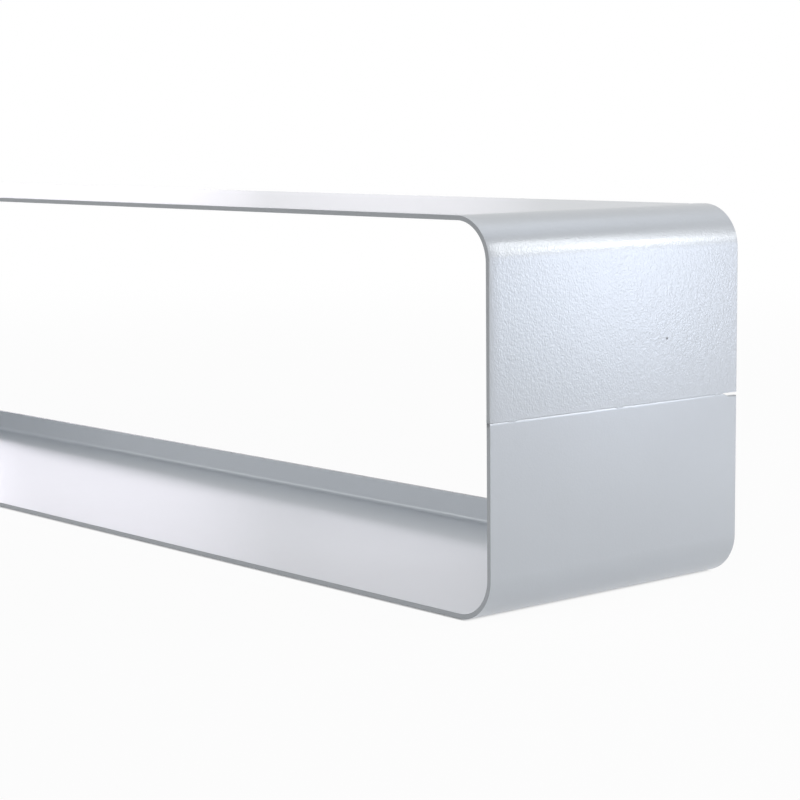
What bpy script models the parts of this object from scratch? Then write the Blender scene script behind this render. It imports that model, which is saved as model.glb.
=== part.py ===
"""Wall rack for disc cases: two bent sheet shells that close to a loop, held by tack welds at the seam.

Units are metres and +Z is up. X runs along the rack, the open front faces -Y and the wall side faces +Y.
The origin is the middle of the footprint, on the plane that the floor rests on.
"""

import math

import bmesh
import bpy

# Overall size, over the outer faces
LENGTH = 0.900
DEPTH = 0.180
HEIGHT = 0.200

# Sheet and its large corner bends
SHEET = 0.0027
CORNER_RADIUS = 0.023
EDGE_ROUND = 0.0004
EDGE_ANGLE = math.radians(60)

# Rear lips, with heights over the outer face of the floor or top that they are bent from
LOWER_LIP_HEIGHT = 0.018
UPPER_LIP_HEIGHT = 0.014
LIP_INNER_RADIUS = 0.0025
LIP_CORNER_RADIUS = 0.004
RELIEF_WIDTH = 0.003
RELIEF_PAST_BEND = 0.0015
RELIEF_TO_CORNER_BEND = 0.005

# Wall screws through the upper lip
SCREW_HOLE_DIAMETER = 0.0045
SCREW_HOLE_INSET = 0.100

# Seam at half height of the end walls, and the tacks across it
SEAM_GAP = 0.0003
TACK_DIAMETER = 0.0050
TACK_CROWN = 0.0006
TACK_EDGE_INSET = 0.015
TACK_CLEARANCE = 0.0003

# Facets of the round stretches, over a quarter turn or a full turn
CORNER_STEPS = 14
LIP_STEPS = 8
LIP_CORNER_STEPS = 6
EDGE_STEPS = 2
HOLE_SIDES = 32
TACK_CROWN_STEPS = 4

# Worked out from the values above
LIP_OUTER_RADIUS = LIP_INNER_RADIUS + SHEET
BEND_LINE_Y = DEPTH / 2 - LIP_OUTER_RADIUS
RELIEF_Y = BEND_LINE_Y - RELIEF_PAST_BEND
TANGENT_X = LENGTH / 2 - CORNER_RADIUS
RELIEF_X = TANGENT_X - RELIEF_TO_CORNER_BEND
LIP_END_X = RELIEF_X - RELIEF_WIDTH
SHELL_HEIGHT = (HEIGHT - SEAM_GAP) / 2
TACK_RADIUS = TACK_DIAMETER / 2
NOTCH_RADIUS = TACK_RADIUS + TACK_CLEARANCE
TACK_PLACES = {
    "front": TACK_EDGE_INSET - DEPTH / 2,
    "middle": 0.0,
    "rear": DEPTH / 2 - TACK_EDGE_INSET,
}
UPPER_LIP_FLAT = UPPER_LIP_HEIGHT - LIP_OUTER_RADIUS
SCREW_HOLE_Z = HEIGHT - LIP_OUTER_RADIUS - UPPER_LIP_FLAT / 2
SCREW_HOLE_X = LENGTH / 2 - SCREW_HOLE_INSET

# How far a cutter stands out of the sheet on each side, and how near counts as the same place
CUTTER_OVERRUN = SHEET
SAME_PLACE = 1e-6


def clear_scene():
    for obj in list(bpy.data.objects):
        bpy.data.objects.remove(obj)


def new_collection(name):
    collection = bpy.data.collections.new(name)
    bpy.context.scene.collection.children.link(collection)
    return collection


def coat_material(name, colour, roughness, metallic):
    material = bpy.data.materials.new(name)
    material.use_nodes = True
    shader = material.node_tree.nodes["Principled BSDF"]
    shader.inputs["Base Color"].default_value = (*colour, 1.0)
    shader.inputs["Roughness"].default_value = roughness
    shader.inputs["Metallic"].default_value = metallic
    material.diffuse_color = (*colour, 1.0)
    return material


def shell_outline():
    """Outer path of a shell in the X-Z plane: down one end wall, along the floor and up the other."""
    right = [(LIP_END_X, 0.0), (RELIEF_X, 0.0)]
    for step in range(CORNER_STEPS + 1):
        turn = math.pi / 2 * step / CORNER_STEPS
        x = TANGENT_X + CORNER_RADIUS * math.sin(turn)
        z = CORNER_RADIUS * (1 - math.cos(turn))
        right.append((x, z))
    right.append((LENGTH / 2, SHELL_HEIGHT))
    left = [(-x, z) for x, z in reversed(right)]
    return left + right


def ribbon_from_outline(name):
    """The outline drawn out along Y as an open sheet, from the front edge to the foot of the relief slots."""
    curve = bpy.data.curves.new(name + "_outline", "CURVE")
    curve.dimensions = "2D"
    curve.fill_mode = "NONE"
    curve.extrude = (DEPTH / 2 + RELIEF_Y) / 2
    spline = curve.splines.new("POLY")
    outline = shell_outline()
    spline.points.add(len(outline) - 1)
    for point, (x, z) in zip(spline.points, outline):
        point.co = (x, z, 0.0, 1.0)
    guide = bpy.data.objects.new(name + "_outline", curve)
    bpy.context.scene.collection.objects.link(guide)
    guide.location.y = (RELIEF_Y - DEPTH / 2) / 2
    guide.rotation_euler.x = math.pi / 2
    bpy.context.view_layer.update()
    evaluated = guide.evaluated_get(bpy.context.evaluated_depsgraph_get())
    mesh = bpy.data.meshes.new_from_object(evaluated)
    mesh.transform(guide.matrix_world)
    mesh.name = name
    bpy.data.objects.remove(guide)
    bpy.data.curves.remove(curve)
    return mesh


def rear_edges(bm, wanted):
    """Edges along the rear of the open sheet whose middle lies where wanted says."""
    found = []
    for edge in bm.edges:
        if any(abs(vert.co.y - RELIEF_Y) > SAME_PLACE for vert in edge.verts):
            continue
        if wanted(abs(sum(vert.co.x for vert in edge.verts)) / 2):
            found.append(edge)
    return found


def draw_out(bm, edges, y=0.0, z=0.0):
    """Draws edges out to new faces, and gives the far edges and their points."""
    drawn = bmesh.ops.extrude_edge_only(bm, edges=edges)["geom"]
    far_verts = [item for item in drawn if isinstance(item, bmesh.types.BMVert)]
    far_edges = [
        item
        for item in drawn
        if isinstance(item, bmesh.types.BMEdge) and all(vert in far_verts for vert in item.verts)
    ]
    bmesh.ops.translate(bm, verts=far_verts, vec=(0.0, y, z))
    return far_edges, far_verts


def add_rear_lip(bm, lip_height):
    """Turns the rear edge up between the relief slots, and draws the rest of it out flat."""
    lip_edges = rear_edges(bm, lambda middle: middle < LIP_END_X)
    plain_edges = rear_edges(bm, lambda middle: middle > RELIEF_X)
    draw_out(bm, plain_edges, y=DEPTH / 2 - RELIEF_Y)

    bend_line, _ = draw_out(bm, lip_edges, y=RELIEF_PAST_BEND)
    spun = bmesh.ops.spin(
        bm,
        geom=bend_line,
        cent=(0.0, BEND_LINE_Y, LIP_OUTER_RADIUS),
        axis=(1.0, 0.0, 0.0),
        angle=math.pi / 2,
        steps=LIP_STEPS,
    )
    bend_end = [item for item in spun["geom_last"] if isinstance(item, bmesh.types.BMEdge)]
    _, corners = draw_out(bm, bend_end, z=lip_height - LIP_OUTER_RADIUS)
    bmesh.ops.bevel(
        bm,
        geom=corners,
        offset=LIP_CORNER_RADIUS,
        offset_type="OFFSET",
        segments=LIP_CORNER_STEPS,
        profile=0.5,
        affect="VERTICES",
    )


def face_outwards(bm):
    bmesh.ops.recalc_face_normals(bm, faces=bm.faces)
    floor = min(bm.faces, key=lambda face: face.calc_center_median().z)
    if floor.normal.z > 0:
        bmesh.ops.reverse_faces(bm, faces=bm.faces)


def make_shell(name, lip_height, parts, material):
    """A floor with two end walls and a rear lip, standing on its outer face."""
    mesh = ribbon_from_outline(name)
    bm = bmesh.new()
    bm.from_mesh(mesh)
    bmesh.ops.remove_doubles(bm, verts=bm.verts, dist=SAME_PLACE)
    add_rear_lip(bm, lip_height)
    face_outwards(bm)
    bm.to_mesh(mesh)
    bm.free()
    mesh.shade_smooth()
    mesh.materials.append(material)
    shell = bpy.data.objects.new(name, mesh)
    parts.objects.link(shell)

    wall = shell.modifiers.new("sheet", "SOLIDIFY")
    wall.thickness = SHEET
    wall.offset = -1.0
    wall.use_even_offset = True
    wall.use_quality_normals = True
    rounding = shell.modifiers.new("cut_edges", "BEVEL")
    rounding.width = EDGE_ROUND
    rounding.segments = EDGE_STEPS
    rounding.limit_method = "ANGLE"
    rounding.angle_limit = EDGE_ANGLE
    rounding.harden_normals = True
    return shell


def make_cutter(name, radius, length, location, rotation, cutters):
    """A round bar that stands for a drill or punch."""
    mesh = bpy.data.meshes.new(name)
    bm = bmesh.new()
    bmesh.ops.create_cone(
        bm, cap_ends=True, segments=HOLE_SIDES, radius1=radius, radius2=radius, depth=length
    )
    bm.to_mesh(mesh)
    bm.free()
    cutter = bpy.data.objects.new(name, mesh)
    cutter.location = location
    cutter.rotation_euler = rotation
    cutter.hide_render = True
    cutter.display_type = "WIRE"
    cutters.objects.link(cutter)
    return cutter


def make_tack_cutters(cutters):
    """Bars across the seam, which leave half of a round notch in each shell."""
    made = []
    for side, sign in (("right", 1), ("left", -1)):
        for place, y in TACK_PLACES.items():
            middle = (sign * (LENGTH - SHEET) / 2, y, HEIGHT / 2)
            turn = (0.0, math.pi / 2, 0.0)
            length = SHEET + 2 * CUTTER_OVERRUN
            name = f"tack_notch_{side}_{place}"
            made.append(make_cutter(name, NOTCH_RADIUS, length, middle, turn, cutters))
    return made


def make_screw_hole_cutters(cutters):
    made = []
    for side, sign in (("right", 1), ("left", -1)):
        middle = (sign * SCREW_HOLE_X, (DEPTH - SHEET) / 2, SCREW_HOLE_Z)
        turn = (math.pi / 2, 0.0, 0.0)
        length = SHEET + 2 * CUTTER_OVERRUN
        name = f"screw_hole_{side}"
        made.append(make_cutter(name, SCREW_HOLE_DIAMETER / 2, length, middle, turn, cutters))
    return made


def cut(shell, cutters):
    for cutter in cutters:
        boolean = shell.modifiers.new(cutter.name, "BOOLEAN")
        boolean.operation = "DIFFERENCE"
        boolean.solver = "EXACT"
        boolean.object = cutter


def tack_profile():
    """Half section of a weld tack: flush outside, and crowned where the bead stands inside the rack."""
    profile = [(0.0, -SHEET - TACK_CROWN)]
    for step in range(1, TACK_CROWN_STEPS + 1):
        turn = math.pi / 2 * step / TACK_CROWN_STEPS
        profile.append((TACK_RADIUS * math.sin(turn), -SHEET - TACK_CROWN * math.cos(turn)))
    profile.append((TACK_RADIUS, 0.0))
    profile.append((0.0, 0.0))
    return list(reversed(profile))


def make_tack_mesh(material):
    mesh = bpy.data.meshes.new("tack_weld")
    bm = bmesh.new()
    verts = [bm.verts.new((radius, 0.0, z)) for radius, z in tack_profile()]
    for first, second in zip(verts, verts[1:]):
        bm.edges.new((first, second))
    bm.to_mesh(mesh)
    bm.free()
    mesh.materials.append(material)
    return mesh


def make_tacks(parts, material):
    """One turned bead in each round notch, flush with the outer face of its end wall."""
    mesh = make_tack_mesh(material)
    for side, sign in (("right", 1), ("left", -1)):
        for place, y in TACK_PLACES.items():
            tack = bpy.data.objects.new(f"tack_weld_{side}_{place}", mesh)
            tack.location = (sign * LENGTH / 2, y, HEIGHT / 2)
            tack.rotation_euler.y = sign * math.pi / 2
            parts.objects.link(tack)
            turned = tack.modifiers.new("turned", "SCREW")
            turned.axis = "Z"
            turned.angle = 2 * math.pi
            turned.steps = HOLE_SIDES
            turned.render_steps = HOLE_SIDES
            turned.use_merge_vertices = True
            turned.merge_threshold = SAME_PLACE
            turned.use_smooth_shade = True


def main():
    clear_scene()
    parts = new_collection("wall_cd_rack")
    cutters = new_collection("cutters")
    cutters.hide_render = True
    coat = coat_material("silver_powder_coat", (0.58, 0.60, 0.63), 0.42, 0.35)
    tack_coat = coat_material("silver_coat_over_tack", (0.56, 0.58, 0.61), 0.45, 0.35)

    lower = make_shell("lower_shell", LOWER_LIP_HEIGHT, parts, coat)
    upper = make_shell("upper_shell", UPPER_LIP_HEIGHT, parts, coat)
    upper.location.z = HEIGHT
    upper.rotation_euler.y = math.pi

    tack_cutters = make_tack_cutters(cutters)
    cut(lower, tack_cutters)
    cut(upper, tack_cutters + make_screw_hole_cutters(cutters))
    make_tacks(parts, tack_coat)


main()
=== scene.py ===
"""Dressed wall rack: two silver-coated bent sheets, joined by weld beads where their end walls meet.

Units are metres and +Z is up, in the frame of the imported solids. X runs along the rack, the open front
faces -Y and the wall side faces +Y. Each sheet starts as a flat blank, as in the workshop: its holes are
punched, its cut edges are rounded, and then a node tree folds it. In a blank, u runs along the rack, v from
the front edge to the rear, and w through the sheet, from 0 on the outer face.
"""

import math

import bmesh
import bpy
from mathutils import Matrix, Vector


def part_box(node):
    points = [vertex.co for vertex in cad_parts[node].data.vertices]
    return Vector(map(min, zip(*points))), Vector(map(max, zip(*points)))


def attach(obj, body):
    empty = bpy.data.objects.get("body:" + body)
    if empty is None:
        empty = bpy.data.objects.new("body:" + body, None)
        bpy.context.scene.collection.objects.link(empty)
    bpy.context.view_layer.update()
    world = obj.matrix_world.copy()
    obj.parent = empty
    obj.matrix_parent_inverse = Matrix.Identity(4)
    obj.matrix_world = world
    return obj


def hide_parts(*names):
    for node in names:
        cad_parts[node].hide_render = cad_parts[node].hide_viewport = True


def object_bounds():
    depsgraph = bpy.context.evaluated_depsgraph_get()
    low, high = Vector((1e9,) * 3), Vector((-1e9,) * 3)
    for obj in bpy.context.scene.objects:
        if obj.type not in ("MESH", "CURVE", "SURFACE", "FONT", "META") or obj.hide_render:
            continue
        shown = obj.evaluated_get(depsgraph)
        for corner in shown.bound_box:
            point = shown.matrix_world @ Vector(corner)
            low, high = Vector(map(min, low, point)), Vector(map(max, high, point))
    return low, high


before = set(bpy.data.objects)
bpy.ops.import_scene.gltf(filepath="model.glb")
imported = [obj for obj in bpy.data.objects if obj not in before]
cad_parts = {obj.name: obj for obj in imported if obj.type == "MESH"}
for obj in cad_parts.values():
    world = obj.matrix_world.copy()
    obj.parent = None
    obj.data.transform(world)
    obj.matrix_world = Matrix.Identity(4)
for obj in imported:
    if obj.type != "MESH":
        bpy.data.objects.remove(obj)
cad_low, cad_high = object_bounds()

# Overall size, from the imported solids
LENGTH, DEPTH, HEIGHT = cad_high - cad_low

# Sheet, its bends and the slots that free the lips, as in the solids
SHEET = 0.0027
CORNER_RADIUS = 0.023
LOWER_LIP_HEIGHT = 0.018
UPPER_LIP_HEIGHT = 0.014
LIP_RADIUS = 0.0052
LIP_CORNER_RADIUS = 0.004
RELIEF_WIDTH = 0.003
RELIEF_PAST_BEND = 0.0015
RELIEF_TO_CORNER_BEND = 0.005
SCREW_HOLE_DIAMETER = 0.0045
SCREW_HOLE_INSET = 0.100

# Rounding of the cut edges. Along the seam it is fuller on the lower sheet, slight on the upper one, and
# flattened to a share of its depth, over its width times FLATTENED_REACH. The coat bridges the seam, so it
# all but closes
EDGE_ROUND = 0.0004
EDGE_STEPS = 5
EDGE_ANGLE = math.radians(60)
LOWER_SEAM_ROUND = 0.0012
UPPER_SEAM_ROUND = 0.00005
SEAM_FLATNESS = 0.58
FLATTENED_REACH = 1.01
SEAM_GAP = 0.00002

# Strip of the end walls that the seam's rounding stays in, and the lower sheet's cutback at its rear end
SEAM_MARGIN = 0.004
SEAM_REAR_OPENING = 0.0017
SEAM_REAR_LENGTH = 0.011

# Roll-off of the upper sheet's outer face at its sheared front edge
FRONT_ROLL_DEPTH = 0.00022
FRONT_ROLL_WIDTH = 0.0085
FRONT_ROLL_POWER = 3.0
FRONT_ROLL_STEPS = 10
FRONT_TOLERANCE = 0.00001

# Shares of the sheet's thickness: where the darker coat of a cut edge starts and ends (partly thin coat,
# partly painted shade), how far from the middle an edge of a face lies, and the length of a punch
CUT_EDGE_FROM = 0.05
CUT_EDGE_TO = 0.95
FACE_FROM_MIDDLE = 0.4
PUNCH_LENGTH = 3.0

# Facets of the bends, over a quarter turn
CORNER_STEPS = 40
LIP_STEPS = 12
LIP_CORNER_STEPS = 10
HOLE_SIDES = 48

# Worked out from the values above, on the blank
QUARTER = math.pi / 2
SHELL_HEIGHT = (HEIGHT - SEAM_GAP) / 2
TANGENT_U = LENGTH / 2 - CORNER_RADIUS
BEND_END_U = TANGENT_U + CORNER_RADIUS * QUARTER
WALL_END_U = BEND_END_U + SHELL_HEIGHT - CORNER_RADIUS
RELIEF_U = TANGENT_U - RELIEF_TO_CORNER_BEND
LIP_END_U = RELIEF_U - RELIEF_WIDTH
BEND_LINE_V = DEPTH / 2 - LIP_RADIUS
RELIEF_V = BEND_LINE_V - RELIEF_PAST_BEND
SEAM_REAR_V = DEPTH / 2 - SEAM_REAR_LENGTH
LIP_FOOT_V = BEND_LINE_V + LIP_RADIUS * QUARTER

# Weld beads across the seam. Their outer half is stretched by BEAD_GROUND and cut off flush. Their lumps
# are a noise, given by its scale and detail
BEAD_LENGTH = 0.0056
BEAD_HEIGHT = 0.0034
BEAD_BELOW_FACE = 0.00002
BEAD_GROUND = 3.0
BEAD_PIT = 0.00025
BEAD_RIPPLE_PITCH = 0.0011
BEAD_RIPPLE = 0.00005
BEAD_LUMPS = (900.0, 1.0)
BEAD_LUMP_SHARE = 3.0
BEAD_DETAIL = 6

# Silver coat: its colour on the sheets and over the welds, and how deep its orange peel is on the lower
# sheet and on the upper one
SILVER = (0.575, 0.605, 0.640)
WELD_SILVER = (0.565, 0.595, 0.630)
SMOOTH_PEEL = 0.00003
FULL_PEEL = 0.000068

# Patterns in the coat. Flake is given by how many cells go into a metre, and the noises by their scale,
# detail and distortion
FLAKE_SCALE = 2600.0
CLOUD = (14.0, 3.0)
MOTTLE = (160.0, 2.0)
PEEL = (1050.0, 0.0, 0.4)
SWELL = (320.0, 0.0)
SWELL_SHARE = 0.4

# What the patterns add to the coat's values. Its roughness stays above 0.274 all over, because the denoiser
# handles glossier flakes in another way and leaves specks
# The edge share of the tone darkens the cut edges: partly their thin coat, partly painted shade where less
# light falls on them
TONE = {"base": 0.96, "flake": 0.01, "cloud": 0.05, "mottle": 0.01, "edge": -0.46}
METALLIC = {"base": 0.295, "flake": 0.02, "nib": -0.2}
ROUGHNESS = {"base": 0.276, "cloud": 0.014, "flake": 0.004, "edge": 0.04}

# Dust nibs in the coat of the right end wall: place along Y and Z, and radius. Each fades out between two
# shares of its radius
RIGHT_END = LENGTH / 2
NIBS = ((0.0351, 0.1325, 0.0007), (0.0294, 0.1800, 0.0003), (-0.0181, 0.1811, 0.0003))
NIB_FADE = (0.5, 1.3)
NIB_COLOUR = (0.10, 0.10, 0.11, 1.0)
NIB_COVER = 0.8
NIB_HEIGHT = 1.5

# Floor: half its side, its depth below the rack, its own white near the rack and where that turns full, its
# white in a gloss, and its grey under the lamps, with what is added to that where it is seen
FLOOR_REACH = 40.0
FLOOR_BELOW = 0.0003
FLOOR_WHITE = 0.95
FLOOR_FADE = (0.7, 2.2)
FLOOR_GLOSS_WHITE = 0.72
FLOOR_GREY = 0.6
FLOOR_SEEN_GREY = 0.35

# Shadow at the foot of the rack: how far it reaches past the corner bends and past the front, and its depth
FOOT_SHADOW_PAST_BENDS = 0.007
FOOT_SHADOW_PAST_FRONT = 0.0012
FOOT_SHADOW = 0.8

# Soft light of the room: its level low all round, the heights over which that fades, and more from the front
ROOM_LOW = 0.36
ROOM_LOW_FADE = (0.25, 0.85)
ROOM_FRONT = 1.24

# Lamps: name, place, aim, size in metres, power in watts and colour
WHITE = (1.0, 1.0, 1.0)
PALE_BLUE = (0.82, 0.87, 1.0)
LAVENDER = (0.97, 0.90, 1.0)
AT_WALL = (RIGHT_END, 0.0, 0.15)
AT_RACK = (0.0, 0.0, 0.1)
LAMPS = (
    ("overhead", (RIGHT_END - 0.4, 0.5, 2.0), (RIGHT_END - 0.4, 0.0, 0.0), (2.6, 2.0), 7.1, WHITE),
    ("upper_rear", (RIGHT_END + 0.164, 0.77, 1.056), AT_WALL, (0.80, 0.30), 0.41, PALE_BLUE),
    ("strip_right_rear", (RIGHT_END + 0.478, 0.472, 0.167), AT_WALL, (0.17, 0.25), 0.51, PALE_BLUE),
    ("spot_right_rear", (RIGHT_END + 0.451, 0.498, 0.386), AT_WALL, (0.12, 0.14), 0.467, WHITE),
    ("high_right_rear", (RIGHT_END + 0.458, 0.491, 0.56), AT_WALL, (0.10, 0.10), 0.32, WHITE),
    ("panel_left_rear", (-1.646, 1.606, 0.50), AT_RACK, (0.50, 0.20), 0.36, LAVENDER),
    ("panel_left", (-1.933, 1.246, 0.45), AT_RACK, (0.50, 0.34), 0.78, LAVENDER),
    ("panel_far_left", (-2.101, 0.935, 0.50), AT_RACK, (0.26, 0.20), 1.60, LAVENDER),
)

# Camera, fitted to the photograph
CAMERA_PLACE = (RIGHT_END + 0.7706, -0.8053, 0.2446)
CAMERA_YAW = 0.8638
CAMERA_PITCH = 0.1256
CAMERA_ROLL = -0.0095
CAMERA_LENS = 98.91
CAMERA_SENSOR = 36.0


class Wire:
    """An output socket of a node. Arithmetic on it adds Math nodes to its tree."""

    def __init__(self, tree, socket):
        self.tree = tree
        self.socket = socket

    def out(self, key):
        """Another output of the same node."""
        return Wire(self.tree, self.socket.node.outputs[key])

    def maths(self, operation, *others):
        inputs = dict(enumerate((self, *others)))
        return self.tree.node("ShaderNodeMath", {"operation": operation}, inputs)

    def maths_from(self, operation, other):
        return self.tree.node("ShaderNodeMath", {"operation": operation}, {0: other, 1: self})

    def __add__(self, other):
        return self.maths("ADD", other)

    def __radd__(self, other):
        return self.maths_from("ADD", other)

    def __sub__(self, other):
        return self.maths("SUBTRACT", other)

    def __rsub__(self, other):
        return self.maths_from("SUBTRACT", other)

    def __mul__(self, other):
        return self.maths("MULTIPLY", other)

    def __rmul__(self, other):
        return self.maths_from("MULTIPLY", other)

    def __truediv__(self, other):
        return self.maths("DIVIDE", other)

    def __lt__(self, other):
        return self.maths("LESS_THAN", other)

    def __gt__(self, other):
        return self.maths("GREATER_THAN", other)

    def least(self, other):
        return self.maths("MINIMUM", other)

    def most(self, other):
        return self.maths("MAXIMUM", other)

    def ramp(self, start, end):
        """0 below start and 1 past end, smooth between."""
        settings = {"interpolation_type": "SMOOTHSTEP"}
        inputs = {"Value": self, "From Min": start, "From Max": end}
        return self.tree.node("ShaderNodeMapRange", settings, inputs)


class Tree:
    """A node tree that is being wired up."""

    def __init__(self, nodes_tree):
        self.nodes_tree = nodes_tree

    def feed(self, socket, value):
        if isinstance(value, Wire):
            self.nodes_tree.links.new(value.socket, socket)
        else:
            socket.default_value = value

    def node(self, kind, settings=None, inputs=None, output=0):
        """Adds a node, sets it up, feeds its sockets and gives one of its outputs."""
        made = self.nodes_tree.nodes.new(kind)
        for name, value in (settings or {}).items():
            setattr(made, name, value)
        for key, value in (inputs or {}).items():
            self.feed(made.inputs[key], value)
        return Wire(self, made.outputs[output]) if made.outputs else made

    def vector(self, operation, inputs, output=0):
        return self.node("ShaderNodeVectorMath", {"operation": operation}, inputs, output)

    def noise(self, where, scale, detail, distortion=0.0):
        inputs = {"Vector": where, "Scale": scale, "Detail": detail, "Distortion": distortion}
        return self.node("ShaderNodeTexNoise", inputs=inputs)

    def grey(self, level):
        return self.node("ShaderNodeCombineColor", inputs={0: level, 1: level, 2: level})

    def mix_colour(self, factor, first, second, blend="MIX"):
        settings = {"data_type": "RGBA", "blend_type": blend}
        return self.node("ShaderNodeMix", settings, {0: factor, 6: first, 7: second}, 2)

    def parts_of(self, vector):
        """The three numbers of a vector."""
        first = self.node("ShaderNodeSeparateXYZ", inputs={0: vector})
        return [first.out(axis) for axis in range(3)]

    def place(self):
        """The three numbers of each point's place, in a geometry tree."""
        return self.parts_of(self.node("GeometryNodeInputPosition"))


def geometry_tree(name, sizes):
    """A geometry node tree with a named input for each size, its Tree, and its inputs as wires."""
    group = bpy.data.node_groups.new(name, "GeometryNodeTree")
    group.is_modifier = True
    group.interface.new_socket("Geometry", in_out="INPUT", socket_type="NodeSocketGeometry")
    for size in sizes:
        group.interface.new_socket(size, in_out="INPUT", socket_type="NodeSocketFloat")
    group.interface.new_socket("Material", in_out="INPUT", socket_type="NodeSocketMaterial")
    group.interface.new_socket("Geometry", in_out="OUTPUT", socket_type="NodeSocketGeometry")
    tree = Tree(group)
    first = tree.node("NodeGroupInput")
    return tree, [first.out(key) for key in ("Geometry", *sizes, "Material")]


def end_tree(tree, geometry, material):
    """Closes a geometry tree: realises its instances, shades it smooth and sets its material."""
    realised = tree.node("GeometryNodeRealizeInstances", inputs={"Geometry": geometry})
    smooth = tree.node("GeometryNodeSetShadeSmooth", inputs={"Geometry": realised})
    painted = tree.node("GeometryNodeSetMaterial", inputs={"Geometry": smooth, "Material": material})
    tree.node("NodeGroupOutput", inputs={"Geometry": painted})
    return tree.nodes_tree


def add_tree(obj, group, values):
    """Puts a geometry tree on an object and sets its inputs, in the order of its sockets."""
    modifier = obj.modifiers.new(group.name, "NODES")
    modifier.node_group = group
    sockets = [item for item in group.interface.items_tree if item.in_out == "INPUT"]
    for socket, value in zip(sockets[1:], values):
        modifier[socket.identifier] = value


def punch_tree():
    """Round holes along the lip, through the flat sheet."""
    sizes = ("Hole Diameter", "Hole Spacing", "Hole Line", "Sheet")
    tree, (blank, diameter, spacing, line, sheet, material) = geometry_tree("punched_holes", sizes)
    start = tree.node("ShaderNodeCombineXYZ", inputs={0: spacing * -0.5, 1: line, 2: sheet * 0.5})
    step = tree.node("ShaderNodeCombineXYZ", inputs={0: spacing})
    places = tree.node("GeometryNodeMeshLine", inputs={"Count": 2, "Start Location": start, "Offset": step})
    sizes_of_punch = {"Vertices": HOLE_SIDES, "Radius": diameter * 0.5, "Depth": sheet * PUNCH_LENGTH}
    punch = tree.node("GeometryNodeMeshCylinder", inputs=sizes_of_punch)
    punches = tree.node("GeometryNodeInstanceOnPoints", inputs={"Points": places, "Instance": punch})
    solid = tree.node("GeometryNodeRealizeInstances", inputs={"Geometry": punches})
    settings = {"operation": "DIFFERENCE", "solver": "EXACT"}
    holed = tree.node("GeometryNodeMeshBoolean", settings, {"Mesh 1": blank, "Mesh 2": solid})
    return end_tree(tree, holed, material)


def rounding_tree():
    """Marks the sharp edges for rounding, by one share along the seam and another elsewhere."""
    sizes = ("Sheet", "Seam Line", "Least Angle", "Plain Share", "Seam Share")
    tree, wires = geometry_tree("edge_rounding", sizes)
    blank, sheet, seam_line, least_angle, plain, full, material = wires
    u, _, deep = tree.place()
    angle = tree.node("GeometryNodeInputMeshEdgeAngle", output="Unsigned Angle")
    at_seam = u.maths("ABSOLUTE") > seam_line
    on_face = (deep - sheet * 0.5).maths("ABSOLUTE") > sheet * FACE_FROM_MIDDLE
    share = (angle > least_angle) * (plain + at_seam * (on_face * full - plain))
    settings = {"data_type": "FLOAT", "domain": "EDGE"}
    marked = tree.node(
        "GeometryNodeStoreNamedAttribute", settings,
        {"Geometry": blank, "Name": "bevel_weight_edge", "Value": share},
    )
    return end_tree(tree, marked, material)


def fold_tree():
    """Folds a blank: the ends turn up to walls, and the rear turns up to a lip between its slots.

    It also flattens the rounding along the seam, rolls the outer face off at the front, and marks the cut
    edges, which the coat darkens: partly their thin coat, partly painted shade.
    """
    sizes = (
        "Sheet", "Seam Line", "Seam Start", "Seam Flatness", "Corner Line", "Corner Radius",
        "Lip End", "Lip Line", "Lip Radius", "Front Line", "Roll Width", "Roll Depth", "Turn", "Lift",
    )
    tree, wires = geometry_tree("folded_sheet", sizes)
    blank, sheet, seam_line, seam_start, flatness, corner_line, corner_radius = wires[:7]
    lip_end, lip_line, lip_radius, front_line, roll_width, roll_depth, turn, lift, material = wires[7:]
    u, v, deep = tree.place()
    across = u.maths("ABSOLUTE")

    on_seam = (across > seam_line) * (v > front_line + FRONT_TOLERANCE)
    # Cut edges off the seam, which the coat darkens: partly their thin coat, partly painted shade
    thin_coat_and_shade = (deep > sheet * CUT_EDGE_FROM) * (deep < sheet * CUT_EDGE_TO) * (1.0 - on_seam)
    settings = {"data_type": "FLOAT", "domain": "POINT"}
    mark = {"Geometry": blank, "Name": "cut_edge", "Value": thin_coat_and_shade}
    marked = tree.node("GeometryNodeStoreNamedAttribute", settings, mark)

    in_outer_half = deep < sheet * 0.5
    nearer_face = sheet - in_outer_half * sheet
    flatter = nearer_face + (deep - nearer_face) * flatness
    near_front = (1.0 - (v - front_line) / roll_width).most(0.0)
    roll = near_front.maths("POWER", FRONT_ROLL_POWER) * roll_depth * in_outer_half
    w = deep + (across > seam_start) * (flatter - deep) + roll

    past_corner = across - corner_line
    corner_turn = (past_corner / corner_radius).most(0.0).least(QUARTER)
    up_wall = (past_corner - corner_radius * QUARTER).most(0.0)
    corner_arm = corner_radius - w
    x = u.maths("SIGN") * (across.least(corner_line) + corner_arm * corner_turn.maths("SINE"))
    wall_z = corner_radius - corner_arm * corner_turn.maths("COSINE") + up_wall

    on_lip = across < lip_end
    past_lip = v - lip_line
    lip_turn = (past_lip / lip_radius).most(0.0).least(QUARTER) * on_lip
    up_lip = (past_lip - lip_radius * QUARTER).most(0.0) * on_lip
    lip_arm = lip_radius - w
    lip_y = v.least(lip_line) + lip_arm * lip_turn.maths("SINE")
    y = v + on_lip * (lip_y - v)
    lip_z = lip_radius - lip_arm * lip_turn.maths("COSINE") + up_lip

    folded_place = tree.node("ShaderNodeCombineXYZ", inputs={0: x, 1: y, 2: wall_z + lip_z - w})
    folded = tree.node("GeometryNodeSetPosition", inputs={"Geometry": marked, "Position": folded_place})
    rotation = tree.node("ShaderNodeCombineXYZ", inputs={1: turn})
    raised = tree.node("ShaderNodeCombineXYZ", inputs={2: lift})
    set_in_place = {"Geometry": folded, "Translation": raised, "Rotation": rotation}
    return end_tree(tree, tree.node("GeometryNodeTransform", inputs=set_in_place), material)


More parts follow.
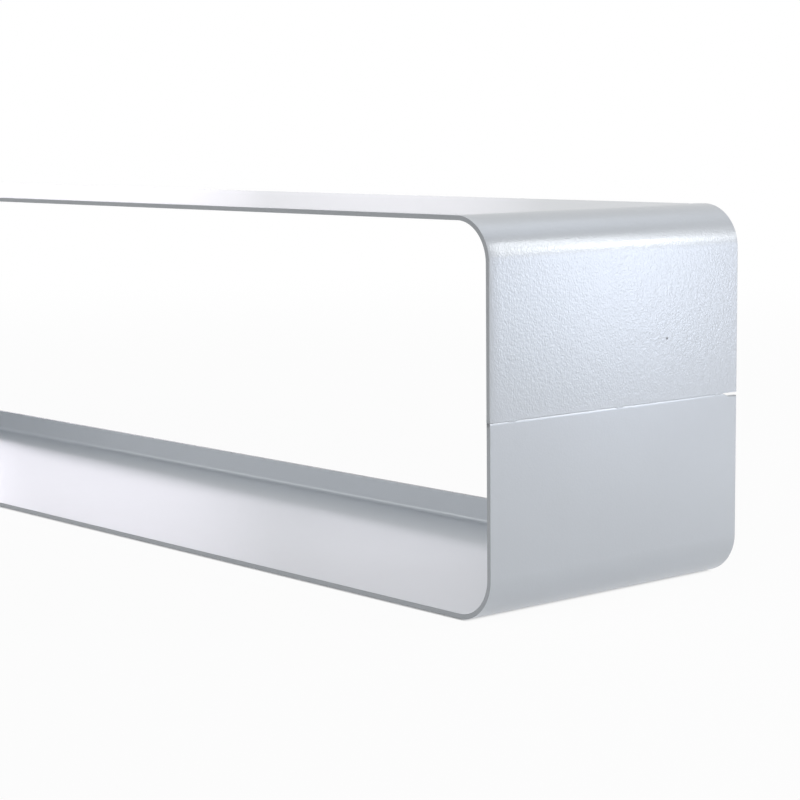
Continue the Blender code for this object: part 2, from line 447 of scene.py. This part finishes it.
def bead_tree():
    """A weld bead on each point: ground flush but pitted outside, and crowned and rippled inside the rack."""
    sizes = ("Bead Length", "Bead Height", "Bead Depth", "Pit", "Ripple Pitch", "Ripple")
    tree, wires = geometry_tree("weld_beads", sizes)
    points, length, height, depth, pit, pitch, ripple, material = wires
    ball = tree.node("GeometryNodeMeshIcoSphere", inputs={"Radius": 1.0, "Subdivisions": BEAD_DETAIL})
    x, y, z = tree.place()
    ground = x + (x > 0.0) * ((x * BEAD_GROUND).least(1.0) - x)
    formed = tree.node("ShaderNodeCombineXYZ", inputs={0: ground, 1: y, 2: z})
    bead = tree.node("GeometryNodeSetPosition", inputs={"Geometry": ball, "Position": formed})

    scale = tree.node("ShaderNodeCombineXYZ", inputs={0: depth * 0.5, 1: length * 0.5, 2: height * 0.5})
    point_x = tree.place()[0]
    half_turn = tree.node("ShaderNodeCombineXYZ", inputs={2: (point_x < 0.0) * math.pi})
    set_out = {"Points": points, "Instance": bead, "Rotation": half_turn, "Scale": scale}
    beads = tree.node("GeometryNodeInstanceOnPoints", inputs=set_out)
    solid = tree.node("GeometryNodeRealizeInstances", inputs={"Geometry": beads})

    position = tree.node("GeometryNodeInputPosition")
    x, y, _ = tree.parts_of(position)
    lean = tree.parts_of(tree.node("GeometryNodeInputNormal"))[0]
    outside = x * lean > 0.0
    wave = (y * (2 * math.pi) / pitch).maths("SINE")
    lump = tree.noise(position, *BEAD_LUMPS) - 0.5
    crown = (wave + lump * BEAD_LUMP_SHARE) * ripple * lean.maths("ABSOLUTE")
    pitted = lump.most(0.0) * pit * -1.0
    rise = tree.node("ShaderNodeCombineXYZ", inputs={0: lean * (crown + outside * (pitted - crown))})
    shaped = tree.node("GeometryNodeSetPosition", inputs={"Geometry": solid, "Offset": rise})
    return end_tree(tree, shaped, material)


def strip(bm, lower, upper):
    """Faces between two rows of points, with the outer side of the sheet down."""
    for first, second, third, fourth in zip(lower, upper, upper[1:], lower[1:]):
        bm.faces.new((first, second, third, fourth))


def row(bm, columns, v):
    return [bm.verts.new((u, v, 0.0)) for u in columns]


def lip_end_points(lip_top_v):
    """Right end of a lip's top edge with its round corner, from the top edge down."""
    points = []
    for step in range(LIP_CORNER_STEPS + 1):
        turn = QUARTER * step / LIP_CORNER_STEPS
        u = LIP_END_U - LIP_CORNER_RADIUS * (1 - math.sin(turn))
        v = lip_top_v - LIP_CORNER_RADIUS * (1 - math.cos(turn))
        points.append((u, v))
    return points


def blank_mesh(name, lip_height, rear_opening, front_roll):
    """The outer face of a sheet before folding, with points wherever it will bend."""
    bend = [TANGENT_U + (BEND_END_U - TANGENT_U) * step / CORNER_STEPS for step in range(CORNER_STEPS + 1)]
    right = [RELIEF_U, *bend, WALL_END_U - SEAM_MARGIN, WALL_END_U]
    left = [-u for u in reversed(right)]
    columns = [*left, -LIP_END_U, LIP_END_U, *right]

    bm = bmesh.new()
    middle = row(bm, columns, SEAM_REAR_V)
    foot = row(bm, columns, RELIEF_V)
    front = row(bm, columns, -DEPTH / 2)
    roll_steps = FRONT_ROLL_STEPS if front_roll else 0
    for step in range(1, roll_steps + 1):
        behind = row(bm, columns, -DEPTH / 2 + FRONT_ROLL_WIDTH * step / roll_steps)
        strip(bm, front, behind)
        front = behind
    strip(bm, front, middle)
    strip(bm, middle, foot)
    for end, end_foot in ((left, foot[: len(left)]), (right, foot[-len(right) :])):
        rear = row(bm, end, DEPTH / 2)
        strip(bm, end_foot, rear)
        for points in (end_foot, rear):
            wall_end = max(points, key=lambda vert: abs(vert.co.x))
            wall_end.co.x -= math.copysign(rear_opening, wall_end.co.x)

    below = foot[len(left) : len(left) + 2]
    bend_rows = [LIP_RADIUS * QUARTER * step / LIP_STEPS for step in range(LIP_STEPS + 1)]
    for past_line in bend_rows:
        above = row(bm, (-LIP_END_U, LIP_END_U), BEND_LINE_V + past_line)
        strip(bm, below, above)
        below = above
    right_end = lip_end_points(LIP_FOOT_V + lip_height - LIP_RADIUS)
    edge = [(-u, v) for u, v in reversed(right_end)] + right_end
    bm.faces.new([below[0], *(bm.verts.new((u, v, 0.0)) for u, v in edge), below[1]])

    mesh = bpy.data.meshes.new(name)
    bm.to_mesh(mesh)
    bm.free()
    return mesh


def add_object(name, data):
    obj = bpy.data.objects.new(name, data)
    bpy.context.scene.collection.objects.link(obj)
    return obj


def plain_copy(obj, name):
    """The object as its modifiers leave it, as a plain mesh object at the origin."""
    bpy.context.view_layer.update()
    graph = bpy.context.evaluated_depsgraph_get()
    evaluated = obj.evaluated_get(graph)
    mesh = bpy.data.meshes.new_from_object(evaluated, preserve_all_data_layers=True, depsgraph=graph)
    mesh.name = name
    bpy.data.objects.remove(obj)
    return add_object(name, mesh)


def make_shell(name, lip_height, seam_round, rear_opening, front_roll, holes, turn, lift, trees, material):
    """One sheet of the rack, from its blank to its place."""
    punched, rounded, folded = trees
    blank = add_object(name + "_blank", blank_mesh(name + "_blank", lip_height, rear_opening, front_roll))
    wall = blank.modifiers.new("sheet", "SOLIDIFY")
    wall.thickness = SHEET
    wall.offset = -1.0
    if holes:
        line = LIP_FOOT_V + (lip_height - LIP_RADIUS) / 2
        spacing = LENGTH - 2 * SCREW_HOLE_INSET
        add_tree(blank, punched, (SCREW_HOLE_DIAMETER, spacing, line, SHEET, material))
    seam_line = WALL_END_U - SEAM_MARGIN / 2
    widest = max(seam_round, EDGE_ROUND)
    shares = (EDGE_ROUND / widest, seam_round / widest)
    add_tree(blank, rounded, (SHEET, seam_line, EDGE_ANGLE, *shares, material))
    rounding = blank.modifiers.new("cut_edges", "BEVEL")
    rounding.width = widest
    rounding.segments = EDGE_STEPS
    rounding.limit_method = "WEIGHT"
    rounding.use_clamp_overlap = False
    lip_limit = (LIP_END_U + RELIEF_U) / 2
    bends = (TANGENT_U, CORNER_RADIUS, lip_limit, BEND_LINE_V, LIP_RADIUS)
    seam = (seam_line, WALL_END_U - FLATTENED_REACH * seam_round, SEAM_FLATNESS)
    front = (-DEPTH / 2, FRONT_ROLL_WIDTH, front_roll)
    add_tree(blank, folded, (SHEET, *seam, *bends, *front, turn, lift, material))
    shading = blank.modifiers.new("flat_panels", "WEIGHTED_NORMAL")
    shading.mode = "FACE_AREA"
    shading.keep_sharp = False
    return plain_copy(blank, name)


def make_beads(name, tacks, material):
    """All weld beads as one piece, each on the middle of its packed tack."""
    mesh = bpy.data.meshes.new(name + "_points")
    boxes = [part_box(tack) for tack in tacks]
    mesh.from_pydata([(low + high) / 2 for low, high in boxes], [], [])
    points = add_object(name + "_points", mesh)
    low, high = boxes[-1]
    depth = high.x - low.x - 2 * BEAD_BELOW_FACE
    sizes = (BEAD_LENGTH, BEAD_HEIGHT, depth, BEAD_PIT, BEAD_RIPPLE_PITCH, BEAD_RIPPLE, material)
    add_tree(points, bead_tree(), sizes)
    return plain_copy(points, name)


def add_up(shares, patterns):
    """A base value and the shares of some patterns."""
    total = shares["base"]
    for name, share in shares.items():
        if name in patterns:
            total = total + patterns[name] * share
    return total


def powder_coat(name, colour, peel_depth):
    """Silver powder coat: flake, orange peel, a little uneven tone, dust nibs, and darker cut edges, partly
    thin coat and partly painted shade.
    """
    material = bpy.data.materials.new(name)
    material.use_nodes = True
    tree = Tree(material.node_tree)
    shader = material.node_tree.nodes["Principled BSDF"]
    where = tree.node("ShaderNodeTexCoord", output="Object")
    edge = tree.node("ShaderNodeAttribute", {"attribute_name": "cut_edge"}, output="Fac")

    flake_cells = {"Vector": where, "Scale": FLAKE_SCALE}
    flake = tree.node("ShaderNodeTexVoronoi", inputs=flake_cells, output="Color")
    nib = 0.0
    for y, z, radius in NIBS:
        away = tree.vector("DISTANCE", {0: where, 1: (RIGHT_END, y, z)}, "Value")
        nib = nib + (1.0 - away.ramp(*(share * radius for share in NIB_FADE)))
    patterns = {
        "flake": tree.node("ShaderNodeSeparateColor", inputs={0: flake}),
        "cloud": tree.noise(where, *CLOUD),
        "mottle": tree.noise(where, *MOTTLE),
        "edge": edge,
        "nib": nib,
    }

    # Tone, with the cut edges darkened as thin coat and painted shade
    tone = tree.grey(add_up(TONE, patterns))
    coat = tree.mix_colour(1.0, (*colour, 1.0), tone, "MULTIPLY")
    tree.feed(shader.inputs["Base Color"], tree.mix_colour(nib * NIB_COVER, coat, NIB_COLOUR))
    tree.feed(shader.inputs["Metallic"], add_up(METALLIC, patterns))
    tree.feed(shader.inputs["Roughness"], add_up(ROUGHNESS, patterns))

    peel = tree.noise(where, *PEEL)
    height = peel + tree.noise(where, *SWELL) * SWELL_SHARE + nib * NIB_HEIGHT
    bump = tree.node("ShaderNodeBump", inputs={"Height": height, "Strength": 1.0, "Distance": peel_depth})
    tree.feed(shader.inputs["Normal"], bump)
    return material


def make_floor():
    """A pale floor. Seen directly or in a gloss it is mostly its own white, and keeps the rack's shadow."""
    mesh = bpy.data.meshes.new("floor")
    ends = (-FLOOR_REACH, FLOOR_REACH)
    corners = [(ends[x], ends[y], -FLOOR_BELOW) for x, y in ((0, 0), (1, 0), (1, 1), (0, 1))]
    mesh.from_pydata(corners, [], [(0, 1, 2, 3)])
    floor = add_object("floor", mesh)
    material = bpy.data.materials.new("pale_floor")
    material.use_nodes = True
    material.cycles.emission_sampling = "NONE"
    tree = Tree(material.node_tree)
    output = material.node_tree.nodes["Material Output"]
    material.node_tree.nodes.remove(material.node_tree.nodes["Principled BSDF"])
    path = tree.node("ShaderNodeLightPath")
    in_gloss = path.out("Is Glossy Ray")
    seen = (path.out("Is Camera Ray") + path.out("Is Transmission Ray")).least(1.0)
    where = tree.node("ShaderNodeTexCoord", output="Object")
    distance = tree.vector("LENGTH", {0: where}, "Value")

    apart = tree.vector("ABSOLUTE", {0: where})
    beside = tree.vector("SUBTRACT", {0: apart, 1: (TANGENT_U, DEPTH / 2, 1.0)})
    outside = tree.vector("MAXIMUM", {0: beside, 1: (0.0, 0.0, 0.0)})
    reach = (FOOT_SHADOW_PAST_BENDS, FOOT_SHADOW_PAST_FRONT, 1.0)
    gap = tree.vector("LENGTH", {0: tree.vector("DIVIDE", {0: outside, 1: reach})}, "Value")
    unshadowed = 1.0 - (1.0 - gap.ramp(0.0, 1.0)) * FOOT_SHADOW

    whiter = (1.0 - FLOOR_WHITE) * distance.ramp(*FLOOR_FADE)
    own_white = seen * (FLOOR_WHITE + whiter) * unshadowed
    gloss_white = in_gloss * FLOOR_GLOSS_WHITE * unshadowed
    shade = (FLOOR_GREY + (seen + in_gloss) * FLOOR_SEEN_GREY) * (1.0 - own_white)
    lit = tree.node("ShaderNodeBsdfDiffuse", inputs={"Color": tree.grey(shade)})
    white = {"Color": tree.grey(own_white + gloss_white), "Strength": 1.0}
    glow = tree.node("ShaderNodeEmission", inputs=white)
    tree.feed(output.inputs["Surface"], tree.node("ShaderNodeAddShader", inputs={0: lit, 1: glow}))
    mesh.materials.append(material)


def make_world():
    """White round the rack as seen or mirrored, and soft light, low all round and fuller from the front."""
    world = bpy.data.worlds.new("soft_room")
    world.use_nodes = True
    world.cycles.sampling_method = "NONE"
    bpy.context.scene.world = world
    tree = Tree(world.node_tree)
    world.node_tree.nodes.remove(world.node_tree.nodes["Background"])
    path = tree.node("ShaderNodeLightPath")
    _, rearward, upward = tree.parts_of(tree.node("ShaderNodeTexCoord", output="Generated"))
    low_light = ROOM_LOW * (1.0 - upward.ramp(*ROOM_LOW_FADE))
    light_level = low_light + ROOM_FRONT * (rearward * -1.0).ramp(0.0, 1.0)
    seen = path.out("Is Camera Ray") + path.out("Is Glossy Ray") + path.out("Is Transmission Ray")
    level = light_level + seen.least(1.0) * (1.0 - light_level)
    background = tree.node("ShaderNodeBackground", inputs={"Color": tree.grey(level), "Strength": 1.0})
    tree.feed(world.node_tree.nodes["World Output"].inputs["Surface"], background)


def make_lights():
    for name, place, aim, size, power, colour in LAMPS:
        data = bpy.data.lights.new(name, "AREA")
        data.shape = "ELLIPSE"
        data.size, data.size_y = size
        data.energy = power
        data.color = colour
        lamp = add_object(name, data)
        lamp.location = place
        lamp.rotation_euler = (Vector(aim) - Vector(place)).to_track_quat("-Z", "Y").to_euler()
        lamp.visible_camera = False


def make_camera():
    data = bpy.data.cameras.new("camera")
    data.sensor_width = CAMERA_SENSOR
    data.lens = CAMERA_LENS
    camera = add_object("camera", data)
    turn = Matrix.Rotation(CAMERA_YAW, 4, "Z")
    tilt = Matrix.Rotation(QUARTER - CAMERA_PITCH, 4, "X")
    roll = Matrix.Rotation(CAMERA_ROLL, 4, "Z")
    camera.matrix_world = Matrix.Translation(CAMERA_PLACE) @ turn @ tilt @ roll
    bpy.context.scene.camera = camera


make_camera()
make_world()
make_lights()
make_floor()

smooth_coat = powder_coat("smooth_silver_powder_coat", SILVER, SMOOTH_PEEL)
peel_coat = powder_coat("orange_peel_silver_powder_coat", SILVER, FULL_PEEL)
bead_coat = powder_coat("silver_coat_over_weld", WELD_SILVER, FULL_PEEL)
sheet_trees = (punch_tree(), rounding_tree(), fold_tree())

lower_sizes = (LOWER_LIP_HEIGHT, LOWER_SEAM_ROUND, SEAM_REAR_OPENING, 0.0, False, 0.0, 0.0)
upper_sizes = (UPPER_LIP_HEIGHT, UPPER_SEAM_ROUND, 0.0, FRONT_ROLL_DEPTH, True, math.pi, HEIGHT)
lower = make_shell("lower_sheet", *lower_sizes, sheet_trees, smooth_coat)
upper = make_shell("upper_sheet", *upper_sizes, sheet_trees, peel_coat)
tack_nodes = sorted(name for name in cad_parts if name.startswith("tack_weld"))
beads = make_beads("weld_beads", tack_nodes, bead_coat)

for piece, slot, nodes in (
    (lower, "shell_coat", ["lower_shell"]),
    (upper, "shell_coat", ["upper_shell"]),
    (beads, "tack_coat", tack_nodes),
):
    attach(piece, "root")
    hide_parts(*nodes)

bpy.context.scene.view_settings.view_transform = "Standard"
